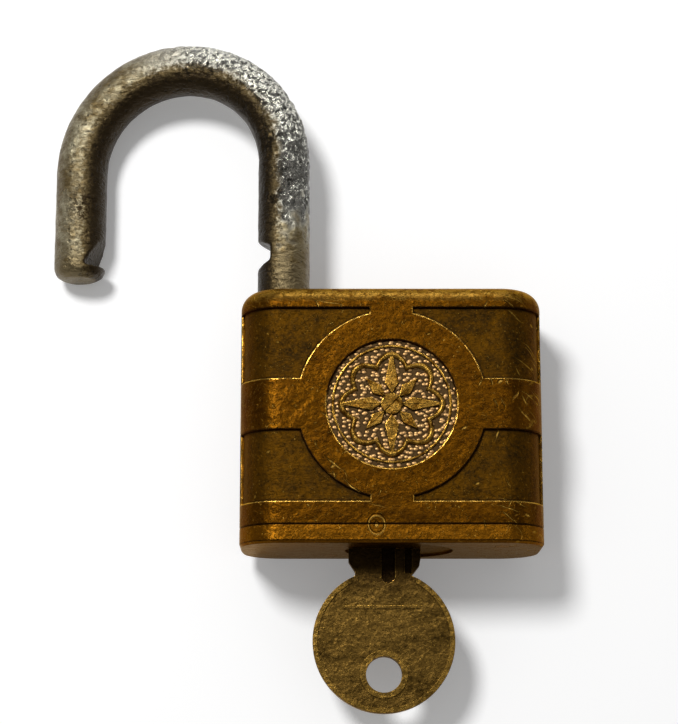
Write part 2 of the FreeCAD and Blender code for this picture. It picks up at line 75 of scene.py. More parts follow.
# Relief on the case, heights from the underside of the bottom plate
MEDALLION_Y = UNDERSIDE + 23.2 * MM
MEDALLION_R = 10.8 * MM
MEDALLION_SUNK = 0.7 * MM
RING_R = 15.9 * MM
LOWER_PANEL = (UNDERSIDE + 7.0 * MM, UNDERSIDE + 18.8 * MM)
UPPER_PANEL = (UNDERSIDE + 27.6 * MM, UNDERSIDE + 39.5 * MM)
RELIEF = 0.6 * MM
CORNER_R = 7.0 * MM

# The medallion's sunk ground and the radius that its ornament stays inside; how far down the case's rounded
# top reaches, and how deep under its skin a face still counts as outside
GROUND = FRONT - MEDALLION_SUNK
ORNAMENT_R = MEDALLION_R - 0.5 * MM
TOP_ROUND = 3.2 * MM
OUTSIDE = 1.4 * MM

# Points of the CAD mesh that lie closer than this are joined
WELD = 0.002 * MM

# Ring-and-dot mark on the seam; its width is divided by MARK_NARROW
MARK_X = -2.6 * MM
MARK_RING_R = 1.55 * MM
MARK_DOT_R = 0.25 * MM
MARK_NARROW = 1.15

# Scratches: angle in degrees, then length and width of their cells in millimetres
SCRATCHES = ((38, 8.0, 0.62), (-57, 5.5, 0.55), (14, 10.0, 0.50), (78, 4.0, 0.60), (-22, 2.2, 0.95))

# Shackle: the axes of its heel and toe legs and the middle of its bend
LEG_R = 4.5 * MM
HEEL = Vector((SHACKLE_HIGH.x - LEG_R, 0, SHACKLE_HIGH.z - LEG_R))
TOE = Vector((SHACKLE_LOW.x + LEG_R, 0, SHACKLE_LOW.z + LEG_R))
BEND = (HEEL + TOE) / 2 + Vector((0, SHACKLE_HIGH.y - LEG_R - (HEEL - TOE).length / 2, 0))
RUST_SPOT = TOE + Vector((2 * MM, BEND.y - 7 * MM, 4 * MM))

# Wear of the shackle: its beaten side starts at x BEATEN_X and at BEATEN_UP above the case, give or take
# BEATEN_WAVE, and the lengths that end in GROWS are those over which a mask rises from 0 to 1
WEAR_GROWS = 4 * MM
BEATEN_X, BEATEN_X_GROWS = -47 * MM, 14 * MM
BEATEN_UP, BEATEN_UP_GROWS, BEATEN_WAVE = 10 * MM, 7 * MM, 6 * MM

# Key: heights of painted shade near the lock, where the blade starts, and groove depth for painted shade
KEY_SHADE = (UNDERSIDE - 9.5 * MM, UNDERSIDE - 2 * MM)
KEY_BLADE = KEY_HIGH.y - 32 * MM
KEY_GROOVE = 0.40 * MM

# Wire and coils of the springs
LIFT_WIRE, LIFT_COILS = 0.7 * MM, 5
DRIVER_WIRE, DRIVER_COILS = 0.3 * MM, 4
BOLT_WIRE, BOLT_COILS = 0.24 * MM, 5

# Lamps: name, place, width in metres, watts, and whether it lights the floor
LAMPS = (("Key light", (-0.25, 0.27, 0.68), 0.19, 4.3, True),
         ("Top light", (0.05, 0.75, 0.30), 0.40, 1.9, False),
         ("Right light", (0.70, 0.15, 0.24), 0.20, 0.35, False),
         ("Side light", (0.16, 0.27, 0.70), 0.12, 0.8, False))


def colour(name, description, value):
    return FloatVectorProperty(name=name, description=description, subtype="COLOR", size=3, min=0,
                               max=1, default=value)


def length(name, description, value):
    return FloatProperty(name=name, description=description, subtype="DISTANCE", unit="LENGTH", min=0,
                         precision=5, default=value)


class PadlockSizes(bpy.types.PropertyGroup):
    edge_round: length("Worn edge", "Rounding of the case's raised edges", 0.28 * MM)
    star_round: length("Ornament edge", "Rounding of the ornament on the medallion", 0.16 * MM)
    key_round: length("Key edge", "Rounding of the key's edges", 0.18 * MM)
    shackle_grid: length("Shackle grid", "Spacing of the shackle's mesh", 0.26 * MM)
    hammer_depth: length("Hammer marks", "Depth of the marks on the shackle", 0.16 * MM)
    trim_radius: length("Trim radius", "Middle of the scalloped trim on the medallion", 7.5 * MM)
    trim_swing: length("Trim swing", "How far the trim's lobes swing in and out", 0.9 * MM)
    trim_half: length("Trim half width", "Half the width of the trim", 0.58 * MM)
    trim_lobes: IntProperty(name="Trim lobes", description="Lobes round the trim", min=3, max=24,
                            default=8)


class PadlockColours(bpy.types.PropertyGroup):
    band: colour("Band brass", "Handled brass of the raised bands", (0.067, 0.0245, 0.0008))
    band_dark: colour("Band patina", "Brown patina on the bands", (0.026, 0.0088, 0.0007))
    plate: colour("Plate brass", "Brass of the bottom plate", (0.120, 0.0450, 0.0020))
    panel: colour("Panel brass", "Brass in the sunk panels", (0.066, 0.0275, 0.0014))
    panel_dark: colour("Panel patina", "Dark patina in the sunk panels", (0.011, 0.0065, 0.0022))
    # Bright brass is also the painted highlight on edges, walls and the top that look up, on nicks and the
    # seam mark's lip
    bright: colour("Bright brass", "Brass worn to the metal, and painted highlights on upward edges", (0.55, 0.315, 0.055))
    # Dark colour for dirt in the seam, and for painted shade in corners, under edges, on the underside and on
    # the key
    grime: colour("Grime", "Dirt in seams, painted shade in corners", (0.010, 0.005, 0.002))
    # The grains are painted light at the top and dark at the edge: painted highlight on grains, painted shade
    # in the gaps
    ground: colour("Medallion ground", "Grains of the stippled ground", (0.34, 0.195, 0.075))
    ground_dark: colour("Stipple gaps", "Gaps between the grains", (0.042, 0.023, 0.008))
    steel: colour("Steel", "Bare steel of the shackle", (0.37, 0.335, 0.225))
    # Bright steel lies most on faces that look out of the bend, partly as a painted highlight
    steel_bright: colour("Bright steel", "Beaten steel, partly a painted highlight outside the bend", (0.74, 0.73, 0.65))
    # On faces that look into the bend, the brown film and rust colours are painted shade
    steel_brown: colour("Brown steel", "Brown film, and painted shade inside the bend", (0.115, 0.082, 0.036))
    rust_and_shade: colour("Rust", "Rust in patches, painted shade inside the bend", (0.024, 0.016, 0.008))
    pit: colour("Pits", "Black bottoms of the shackle's pits", (0.012, 0.010, 0.008))
    key: colour("Key brass", "Olive brass of the key", (0.116, 0.065, 0.0130))
    key_dark: colour("Key patina", "Dark patina on the key", (0.019, 0.0105, 0.0020))
    machined: colour("Turned brass", "Turned brass of the pins", (0.60, 0.42, 0.16))
    wire: colour("Wire", "Spring wire", (0.42, 0.42, 0.43))
    bolt: colour("Bolt steel", "Oiled steel of the bolts", (0.20, 0.19, 0.18))


class PadlockStage(bpy.types.PropertyGroup):
    tilt: FloatProperty(name="Camera tilt", description="How far below square-on the camera stands",
                        subtype="ANGLE", default=math.radians(12.3))
    distance: length("Camera distance", "From the camera to the point it looks at", 0.374)
    lens: FloatProperty(name="Lens", description="Focal length in millimetres", default=108.35)
    aim: FloatVectorProperty(name="Aim", description="Point the camera looks at", subtype="TRANSLATION",
                             unit="LENGTH", size=3, default=(-0.00878, 0.01085, 0.011))
    floor: colour("Floor", "Colour of the floor", (0.93, 0.93, 0.93))
    glow: FloatProperty(name="Floor glow", description="Light added to the floor as the camera sees it",
                        default=0.18)
    fill: FloatProperty(name="Fill light", description="Strength of the light from all sides", default=0.28)


# Shader helpers

def add(tree, kind, inputs=None, **settings):
    """Adds a node, sets its options, and links or sets its inputs."""
    node = tree.nodes.new(kind)
    for name, value in settings.items():
        setattr(node, name, value)
    for name, value in (inputs or {}).items():
        if isinstance(value, bpy.types.NodeSocket):
            tree.links.new(value, node.inputs[name])
        else:
            node.inputs[name].default_value = value
    return node


def calc(tree, operation, *values, clamp=False):
    """Math node on sockets or numbers."""
    return add(tree, "ShaderNodeMath", dict(enumerate(values)), operation=operation,
               use_clamp=clamp).outputs[0]


def times(tree, first, second):
    """Product of two sockets or numbers."""
    return calc(tree, "MULTIPLY", first, second)


def weighted(tree, *terms):
    """Sum of sockets, each times its weight."""
    total = None
    for value, weight in terms:
        part = times(tree, value, weight)
        total = part if total is None else calc(tree, "ADD", total, part)
    return total


def split(tree, vector):
    """The sockets X, Y and Z of a vector."""
    return add(tree, "ShaderNodeSeparateXYZ", {0: vector}).outputs


def off_middle(tree, across, up):
    """Distance of a place from the middle, by its two coordinates."""
    return calc(tree, "SQRT", calc(tree, "ADD", times(tree, across, across), times(tree, up, up)))


def ramp(tree, value, low, high, to_low=0.0, to_high=1.0):
    """Smooth step from to_low at low to to_high at high."""
    return add(tree, "ShaderNodeMapRange", {0: value, 1: low, 2: high, 3: to_low, 4: to_high},
               interpolation_type="SMOOTHSTEP").outputs[0]


def blend(tree, share, first, second, mode="MIX"):
    """Mixes two colours, each a socket or three numbers."""
    def full(value):
        return value if isinstance(value, bpy.types.NodeSocket) else (*value[:3], 1.0)
    return add(tree, "ShaderNodeMix", {0: share, 6: full(first), 7: full(second)}, data_type="RGBA",
               blend_type=mode).outputs[2]


def grain(tree, vector, scale, detail=4.0, rough=0.6, distortion=0.0):
    """Noise from 0 to 1; scale is in features per millimetre."""
    return add(tree, "ShaderNodeTexNoise", {"Vector": vector, "Scale": scale / MM, "Detail": detail,
                                            "Roughness": rough, "Distortion": distortion}).outputs["Fac"]


def wavy(tree, vector, scale, detail, reach):
    """Coordinates that noise pushes about; scale is in features per millimetre."""
    push = add(tree, "ShaderNodeTexNoise", {"Vector": vector, "Scale": scale / MM, "Detail": detail})
    return add(tree, "ShaderNodeVectorMath", {0: push.outputs["Color"], 1: (reach,) * 3, 2: vector},
               operation="MULTIPLY_ADD").outputs[0]


def turned(tree, vector, place=(0, 0, 0), turn=(0, 0, 0), stretch=(1, 1, 1)):
    """Coordinates moved, turned and stretched."""
    return add(tree, "ShaderNodeMapping", {"Vector": vector, "Location": place, "Rotation": turn,
                                           "Scale": stretch}).outputs[0]


def shared(name, numbers, *outputs):
    """Starts a node group that takes a vector and numbers; returns its tree, inputs and outputs."""
    tree = bpy.data.node_groups.new(name, "ShaderNodeTree")
    tree.interface.new_socket(name="Vector", in_out="INPUT", socket_type="NodeSocketVector")
    for label, value in numbers.items():
        socket = tree.interface.new_socket(name=label, in_out="INPUT", socket_type="NodeSocketFloat")
        socket.default_value = value
    for label in outputs:
        tree.interface.new_socket(name=label, in_out="OUTPUT", socket_type="NodeSocketFloat")
    return tree, tree.nodes.new("NodeGroupInput").outputs, tree.nodes.new("NodeGroupOutput").inputs


def patina_group():
    """Cloudy brown film: Mask is 1 where it is thick, Fine is its small grain."""
    tree, given, result = shared("Patina", {"Size": 1.0, "Amount": 0.5}, "Mask", "Fine")
    scaled = add(tree, "ShaderNodeVectorMath", {0: given["Vector"], "Scale": given["Size"]},
                 operation="SCALE").outputs[0]
    broad, spots = grain(tree, scaled, 0.16, 5, 0.62, 0.6), grain(tree, scaled, 0.9, 4, 0.7)
    mixed = weighted(tree, (broad, 0.65), (spots, 0.35))
    edge = calc(tree, "SUBTRACT", 1.0, given["Amount"])
    mask = ramp(tree, mixed, calc(tree, "SUBTRACT", edge, 0.16), calc(tree, "ADD", edge, 0.16))
    tree.links.new(mask, result["Mask"])
    tree.links.new(grain(tree, scaled, 4.5, 3, 0.7), result["Fine"])
    return tree


def scratch_group():
    """Straight scratches in several directions: Mask is 1 in a scratch, Amount is their share."""
    tree, given, result = shared("Scratches", {"Amount": 0.5}, "Mask")
    place = given["Vector"]
    axes = split(tree, place)
    # Most of them lie on the right side and along the top, and none round the seam mark
    right = ramp(tree, axes["X"], 8 * MM, 21 * MM)
    top = ramp(tree, axes["Y"], 14 * MM, 21 * MM, 0.0, 0.8)
    patches = ramp(tree, grain(tree, place, 0.08, 2, 0.5), 0.45, 0.70, 0.30, 0.9)
    patches = times(tree, patches, ramp(tree, axes["Y"], SEAM + 1 * MM, SEAM + 5 * MM))
    where = calc(tree, "MAXIMUM", calc(tree, "MAXIMUM", right, top), patches)
    share = times(tree, where, given["Amount"])
    bent = wavy(tree, place, 0.35, 1.0, 0.9 * MM)
    total = None
    for n, (angle, long, wide) in enumerate(SCRATCHES):
        line = turned(tree, bent, (n * 17 * MM, n * 11 * MM, 0), (0.5, 0.3, math.radians(angle)))
        line = turned(tree, line, stretch=(1 / long, 1 / wide, 1 / long))
        cell = add(tree, "ShaderNodeTexVoronoi", {"Vector": line, "Scale": 1 / MM}).outputs
        chosen = calc(tree, "LESS_THAN", cell["Color"], times(tree, share, 0.34))
        mark = times(tree, ramp(tree, cell["Distance"], 0.12, 0.30, 1.0, 0.0), chosen)
        total = mark if total is None else calc(tree, "MAXIMUM", total, mark)
    tree.links.new(total, result["Mask"])
    return tree


def pit_group():
    """Small round pits in clusters: Mask is 1 inside a pit, Height falls into it."""
    tree, given, result = shared("Pits", {"Cells": 1.2, "Amount": 0.5}, "Mask", "Height")
    bent = wavy(tree, given["Vector"], 1.4, 2.0, 0.5 * MM)
    per_metre = times(tree, given["Cells"], 1 / MM)
    cell = add(tree, "ShaderNodeTexVoronoi", {"Vector": bent, "Scale": per_metre}).outputs
    cluster = grain(tree, given["Vector"], 0.22, 3, 0.6)
    reach = times(tree, times(tree, cell["Color"], cluster), given["Amount"])
    mask = ramp(tree, cell["Distance"], times(tree, reach, 0.55), reach, 1.0, 0.0)
    tree.links.new(mask, result["Mask"])
    tree.links.new(calc(tree, "SUBTRACT", 1.0, mask), result["Height"])
    return tree


def corner_group():
    """Painted shade in the panels' corners: Mask is 1 at the ring and the bands, Reach is in millimetres."""
    tree, given, result = shared("Corner grime", {"Reach": 1.0}, "Mask")
    axes = split(tree, given["Vector"])
    around = off_middle(tree, axes["X"], calc(tree, "SUBTRACT", axes["Y"], MEDALLION_Y))
    nearest = calc(tree, "ABSOLUTE", calc(tree, "SUBTRACT", around, RING_R))
    for edge in (*LOWER_PANEL, *UPPER_PANEL):
        away = calc(tree, "ABSOLUTE", calc(tree, "SUBTRACT", axes["Y"], edge))
        nearest = calc(tree, "MINIMUM", nearest, away)
    mask = ramp(tree, nearest, 0.0, times(tree, given["Reach"], MM), 1.0, 0.0)
    tree.links.new(mask, result["Mask"])
    return tree


def mark_group():
    """Ring-and-dot mark across the seam: Height falls in its line; a painted highlight lies on its lower lip.
    """
    tree, given, result = shared("Seam mark", {}, "Height", "Lip_highlight")
    axes = split(tree, turned(tree, given["Vector"], (-MARK_X, -SEAM, 0)))
    across = times(tree, axes["X"], MARK_NARROW)

    def line(drop):
        """Distance from the mark's line, with the mark moved down by drop."""
        out = off_middle(tree, across, calc(tree, "ADD", axes["Y"], drop))
        ring = calc(tree, "ABSOLUTE", calc(tree, "SUBTRACT", out, MARK_RING_R))
        dot = calc(tree, "MAXIMUM", 0.0, calc(tree, "SUBTRACT", out, MARK_DOT_R))
        return calc(tree, "MINIMUM", ring, dot)

    front = ramp(tree, axes["Z"], FRONT - 2 * MM, FRONT - 1 * MM)
    dip = times(tree, front, ramp(tree, line(0), 0.12 * MM, 0.30 * MM, 1.0, 0.0))
    lip_highlight = times(tree, front, ramp(tree, line(0.2 * MM), 0.05 * MM, 0.20 * MM, 0.8, 0.0))
    tree.links.new(calc(tree, "SUBTRACT", 1.0, dip), result["Height"])
    tree.links.new(lip_highlight, result["Lip_highlight"])
    return tree


def use(tree, group, inputs):
    """Places a shared node group."""
    return add(tree, "ShaderNodeGroup", inputs, node_tree=group).outputs


def start(name):
    """New material: returns its tree, Object coordinates and Principled shader."""
    material = bpy.data.materials.new(name)
    material.use_nodes = True
    tree = material.node_tree
    shader = tree.nodes["Principled BSDF"]
    place = add(tree, "ShaderNodeTexCoord").outputs["Object"]
    return tree, place, shader


def close(tree, shader, base, rough, metal, height, strength, distance):
    """Links a finish to the Principled shader."""
    for name, value in (("Base Color", base), ("Roughness", rough), ("Metallic", metal)):
        if isinstance(value, bpy.types.NodeSocket):
            tree.links.new(value, shader.inputs[name])
        else:
            shader.inputs[name].default_value = value
    bump = add(tree, "ShaderNodeBump", {"Height": height, "Strength": strength, "Distance": distance})
    tree.links.new(bump.outputs[0], shader.inputs["Normal"])


def attribute(tree, name):
    """Reads a mask that the mesh code left on a piece."""
    return add(tree, "ShaderNodeAttribute", attribute_name=name).outputs["Fac"]


def make_materials(colours):
    """All finishes of the padlock."""
    patina, scratches, pits = patina_group(), scratch_group(), pit_group()
    corners, mark = corner_group(), mark_group()

    def brass(name, light, dark, amount, scratched=0.0, grained=0.0, grime=0.0, rough=0.32, metal=0.86,
              stamped=False, shade=None):
        """Old brass: light metal under a dark film, with nicks and dents, and what a piece adds."""
        tree, place, shader = start(name)
        shader.inputs["Specular IOR Level"].default_value = 0.08
        shader.inputs["Specular Tint"].default_value = (0.80, 0.55, 0.25, 1)
        film = use(tree, patina, {"Vector": place, "Size": 1.0, "Amount": amount})
        base = blend(tree, film["Mask"], light, dark)
        base = blend(tree, ramp(tree, film["Fine"], 0.50, 0.75, 0.0, 0.45), base, dark)
        flecks = grain(tree, place, 1.7, 4, 0.7, 0.3)
        base = blend(tree, ramp(tree, flecks, 0.52, 0.66, 0.0, 0.7), base, dark)
        base = blend(tree, ramp(tree, flecks, 0.34, 0.48, 0.8, 0.0), base, light)
        # Nicks are bumps whose tops are painted bright: bare brass, and partly a painted glint
        nicks_and_glints = grain(tree, place, 2.4, 3, 0.65, 0.8)
        base = blend(tree, ramp(tree, nicks_and_glints, 0.62, 0.70, 0.0, 0.30), base, colours.bright)
        dents = grain(tree, place, 0.45, 3, 0.55)
        heights = [(film["Fine"], 0.25), (flecks, 0.5), (dents, 3.4), (ramp(tree, nicks_and_glints, 0.55, 0.70), 0.9)]
        # Painted shade on the key, darker towards the lock
        if shade:
            low, high = shade
            base = blend(tree, ramp(tree, split(tree, place)["Y"], low, high, 0.0, 0.80), base, colours.grime)
        if grained:
            lines = grain(tree, turned(tree, place, stretch=(0.45, 1.3, 0.8)), 2.4, 4, 0.68)
            base = blend(tree, ramp(tree, lines, 0.45, 0.70, 0.0, 0.40), base, light)
            heights.append((lines, grained))
        if scratched:
            marks = use(tree, scratches, {"Vector": place, "Amount": scratched})["Mask"]
            wear_and_highlight = times(tree, marks, ramp(tree, flecks, 0.35, 0.60, 0.05, 0.50))
            base = blend(tree, wear_and_highlight, base, colours.bright)
            heights.append((marks, -2.6))
        # Painted shade in the panels' corners, next to the ring and the bands
        if grime:
            dirt = use(tree, corners, {"Vector": place, "Reach": 0.45})["Mask"]
            uneven = ramp(tree, grain(tree, place, 0.6, 3, 0.6), 0.25, 0.65, 0.25, grime)
            base = blend(tree, times(tree, dirt, uneven), base, colours.grime)
        if stamped:
            stamp = use(tree, mark, {"Vector": place})
            # The mark's lower lip gets a painted highlight
            base = blend(tree, times(tree, stamp["Lip_highlight"], 0.5), base, colours.bright)
            heights.append((stamp["Height"], 4.0))
        # The bright mark is wear plus a painted highlight on faces that look up; the dark mark is seam dirt
        # plus painted shade
        uneven = ramp(tree, grain(tree, place, 0.8, 3, 0.6), 0.28, 0.60)
        worn = times(tree, attribute(tree, "edge_wear_and_highlight"), uneven)
        base = blend(tree, times(tree, worn, 0.85), base, colours.bright)
        base = blend(tree, times(tree, attribute(tree, "edge_dirt_and_shade"), 0.85), base, colours.grime)
        grainy = times(tree, calc(tree, "SUBTRACT", film["Fine"], 0.5), 0.30)
        roughness = calc(tree, "ADD", rough, grainy)
        roughness = calc(tree, "SUBTRACT", roughness, times(tree, worn, 0.10), clamp=True)
        close(tree, shader, base, roughness, metal, weighted(tree, *heights), 0.8, 0.08 * MM)

    brass("Band brass", colours.band, colours.band_dark, 0.42, scratched=1.0, stamped=True)
    brass("Panel brass", colours.panel, colours.panel_dark, 0.45, scratched=0.5, grained=1.6, grime=0.95,
          rough=0.46)
    brass("Plate brass", colours.plate, colours.band, 0.38, scratched=1.0, stamped=True)
    brass("Cylinder brass", colours.panel, colours.panel_dark, 0.45, rough=0.42)
    brass("Key brass", colours.key, colours.key_dark, 0.42, shade=KEY_SHADE)
    brass("Turned brass", colours.machined, colours.band, 0.30, rough=0.28, metal=1.0)

    # Each grain is painted light at its top and dark at its edge: a painted highlight, and painted shade
    # between grains
    tree, place, shader = start("Stippled ground")
    shader.inputs["Specular Tint"].default_value = (0.80, 0.60, 0.35, 1)
    flat = turned(tree, wavy(tree, place, 0.9, 2.0, 0.16 * MM), stretch=(0.85, 1.1, 1.0))
    away = add(tree, "ShaderNodeTexVoronoi", {"Vector": flat, "Scale": 1.25 / MM},
               voronoi_dimensions="2D").outputs["Distance"]
    fallen = calc(tree, "POWER", times(tree, away, 1.9), 2.0)
    dome = calc(tree, "SQRT", calc(tree, "SUBTRACT", 1.0, fallen, clamp=True))
    base = blend(tree, ramp(tree, away, 0.28, 0.56), colours.ground, colours.ground_dark)
    stains = ramp(tree, grain(tree, place, 0.35, 3, 0.6), 0.50, 0.75, 0.0, 0.45)
    base = blend(tree, stains, base, colours.panel_dark)
    close(tree, shader, base, 0.38, 0.85, dome, 1.0, 0.20 * MM)

    tree, place, shader = start("Old steel")
    inner, beaten = attribute(tree, "inner"), attribute(tree, "beaten")
    film = use(tree, patina, {"Vector": place, "Size": 1.1, "Amount": 0.55})
    chips = grain(tree, place, 1.3, 4, 0.70, 0.6)
    facing = calc(tree, "ADD", inner, times(tree, calc(tree, "SUBTRACT", chips, 0.5), 0.7))
    up = split(tree, place)["Y"]
    # Beaten steel is bright, lying most on faces that look out of the bend: partly a painted highlight
    base = blend(tree, times(tree, beaten, 0.9), colours.steel, colours.steel_bright)
    # Brown film lies where nothing beat it off and at the leg ends; on faces into the bend it is painted
    # shade
    brown = times(tree, film["Mask"], calc(tree, "SUBTRACT", 1.0, beaten))
    ends = ramp(tree, up, BEND.y - 18 * MM, BEND.y - 8 * MM, 0.9, 0.0)
    brown = calc(tree, "MAXIMUM", brown, calc(tree, "MAXIMUM", ramp(tree, facing, 0.25, 0.60), ends))
    base = blend(tree, brown, base, colours.steel_brown)
    # Rust lies in a patch on the toe leg; the dark colour on faces into the bend is painted shade
    spot = add(tree, "ShaderNodeVectorMath", {0: place, 1: tuple(RUST_SPOT)}, operation="DISTANCE")
    patch = ramp(tree, spot.outputs["Value"], 1.5 * MM, 6.0 * MM, 1.0, 0.0)
    patch = times(tree, patch, ramp(tree, chips, 0.44, 0.58))
    rust_and_shade_mask = calc(tree, "MAXIMUM", patch, ramp(tree, facing, 0.50, 0.85, 0.0, 0.9))
    base = blend(tree, rust_and_shade_mask, base, colours.rust_and_shade)
    # Chips in the beaten side are black, most of all below the bend, and so are some pits
    low = ramp(tree, up, BEND.y - 2 * MM, BEND.y + 12 * MM, 0.10, 0.0)
    black = ramp(tree, calc(tree, "ADD", chips, low), 0.46, 0.56)
    black = times(tree, black, times(tree, beaten, 0.88))
    holes = use(tree, pits, {"Vector": place, "Cells": 1.1, "Amount": 0.95})
    black = calc(tree, "MAXIMUM", black, times(tree, holes["Mask"], 0.4))
    base = blend(tree, black, base, colours.pit)
    ripple = grain(tree, turned(tree, place, stretch=(0.6, 1.4, 0.6)), 1.0, 4, 0.6, 0.8)
    height = weighted(tree, (chips, times(tree, beaten, -3.0)), (ripple, 3.2), (holes["Height"], 0.7),
                      (film["Fine"], 0.35))
    roughness = calc(tree, "SUBTRACT", 0.40, times(tree, beaten, 0.16), clamp=True)
    close(tree, shader, base, roughness, 1.0, height, 0.9, 0.12 * MM)

    for name, tone, rough, metal in (("Spring wire", colours.wire, 0.30, 0.95),
                                     ("Bolt steel", colours.bolt, 0.36, 0.85)):
        tree, place, shader = start(name)
        film = use(tree, patina, {"Vector": place, "Size": 2.0, "Amount": 0.35})
        base = blend(tree, times(tree, film["Mask"], 0.6), tone, colours.steel_brown)
        roughness = calc(tree, "ADD", rough, times(tree, film["Fine"], 0.2))
        close(tree, shader, base, roughness, metal, film["Fine"], 0.4, 0.02 * MM)


# Mesh helpers

def unit(value):
    """The value, held between 0 and 1."""
    return min(max(value, 0.0), 1.0)


def piece(name, bm, materials, body, replaces=()):
    """Turns a bmesh into a piece of the padlock that rides on a body."""
    mesh = bpy.data.meshes.new(name)
    bm.to_mesh(mesh)
    bm.free()
    for material in materials:
        mesh.materials.append(bpy.data.materials[material])
    obj = bpy.data.objects.new(name, mesh)
    bpy.context.scene.collection.objects.link(obj)
    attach(obj, body)
    if replaces:
        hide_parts(*replaces)
    return obj


def merged(node):
    """Bmesh copy of a CAD node with its loose triangles joined."""
    bm = bmesh.new()
    bm.from_mesh(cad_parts[node].data)
    bmesh.ops.remove_doubles(bm, verts=bm.verts, dist=WELD)
    bmesh.ops.dissolve_degenerate(bm, edges=bm.edges, dist=WELD)
    bmesh.ops.dissolve_limit(bm, angle_limit=math.radians(0.6), verts=bm.verts, edges=bm.edges)
    return bm


def masks(bm):
    """The face layers edge_wear_and_highlight and edge_dirt_and_shade, made where they are missing."""
    layers = bm.faces.layers.float
    for name in ("edge_wear_and_highlight", "edge_dirt_and_shade"):
        if layers.get(name) is None:
            layers.new(name)
    # A new layer makes earlier references stale, so both are looked up last
    return layers["edge_wear_and_highlight"], layers["edge_dirt_and_shade"]


def round_edges(bm, width, segments=2, least=30, keep=None, limit=True):
    """Bevels outward sharp edges as worn ones; up-facing get a painted highlight, down-facing painted shade.
    """
    wear_and_highlight, dirt_and_shade = masks(bm)
    sharp = [e for e in bm.edges if len(e.link_faces) == 2 and e.is_convex
             and e.calc_face_angle(0) > math.radians(least) and (keep is None or keep(e))]
    made = bmesh.ops.bevel(bm, geom=sharp, offset=width, offset_type="OFFSET", segments=segments,
                           profile=0.5, affect="EDGES", clamp_overlap=limit, material=-1)
    bm.normal_update()
    # Bevels that look up get a painted highlight, those that look down painted shade
    for face in made["faces"]:
        face[wear_and_highlight] = 1.0 if face.normal.y > 0.08 else 0.45
        if face.normal.y < -0.08:
            face[wear_and_highlight], face[dirt_and_shade] = 0.0, 1.0


def smooth(obj, angle=35):
    """Smooth shading with crisp corners, and flats that stay flat."""
    obj.data.shade_smooth()
    bm = bmesh.new()
    bm.from_mesh(obj.data)
    for edge in bm.edges:
        edge.smooth = len(edge.link_faces) == 2 and edge.calc_face_angle(0) < math.radians(angle)
    bm.to_mesh(obj.data)
    bm.free()
    flats = obj.modifiers.new("Flat faces", "WEIGHTED_NORMAL")
    flats.keep_sharp = True
    flats.weight = 80


def helix(name, radius, wire, start, end, turns, body, node, steps=20, sides=8):
    """Round wire spring with its coils between two points, in place of a CAD spring."""
    along = (end - start).normalized()
    across = along.orthogonal().normalized()
    bm = bmesh.new()
    ring = bmesh.ops.create_circle(bm, cap_ends=False, segments=sides, radius=wire / 2)["verts"]
    to_wire = Matrix((across, along, across.cross(along))).transposed().to_4x4()
    bmesh.ops.transform(bm, matrix=Matrix.Translation(start + across * radius) @ to_wire, verts=ring)
    first = bm.edges[:]
    end_ring = bmesh.ops.spin(bm, geom=first, cent=start, axis=along, dvec=(end - start) / (turns * steps),
                              angle=turns * 2 * math.pi, steps=turns * steps, use_merge=False)["geom_last"]
    bmesh.ops.edgeloop_fill(bm, edges=first)
    bmesh.ops.edgeloop_fill(bm, edges=[e for e in end_ring if isinstance(e, bmesh.types.BMEdge)])
    bmesh.ops.recalc_face_normals(bm, faces=bm.faces)
    obj = piece(name, bm, ["Spring wire"], body, [node])
    obj.data.shade_smooth()
    return obj


def under_skin(p):
    """Depth of a point below the case's outer skin, on its straight height."""
    half = CASE_HIGH.x - CORNER_R, (CASE_HIGH.z - CASE_LOW.z) / 2 - CORNER_R
    x, z = abs(p.x) - half[0], abs(p.z - MIDDLE) - half[1]
    return CORNER_R - math.hypot(max(x, 0), max(z, 0)) - min(max(x, z), 0)


def in_panel(face):
    """True for a face of the sunk panels' floor."""
    p = face.calc_center_median()
    tall = LOWER_PANEL[0] < p.y < UPPER_PANEL[1]
    return tall and abs(face.normal.y) < 0.3 and abs(under_skin(p) - RELIEF) < 0.12 * MM


def off_axis(p):
    """Distance of a point from the medallion's axis."""
    return math.hypot(p.x, p.y - MEDALLION_Y)


def near_outside(p):
    """True for a point on the case's outer skin or its top rather than in its bores."""
    return under_skin(p) < OUTSIDE or p.y > CASE_HIGH.y - 0.7 * MM


def mark_walls(bm):
    """Marks the walls of the relief: those that look up get a painted highlight, those that look down painted
    shade.
    """
    wear_and_highlight, dirt_and_shade = masks(bm)
    for face in bm.faces:
        if 0.03 * MM < under_skin(face.calc_center_median()) < 0.75 * MM and abs(face.normal.y) > 0.25:
            face[wear_and_highlight if face.normal.y > 0 else dirt_and_shade] = 0.8


# Operators, one for each piece or group of like pieces

class PADLOCK_OT_finishes(bpy.types.Operator):
    """Make the materials that the pieces share"""
    bl_idname = "padlock.finishes"
    bl_label = "Finishes"

    def execute(self, context):
        make_materials(context.scene.padlock_colours)
        return {"FINISHED"}


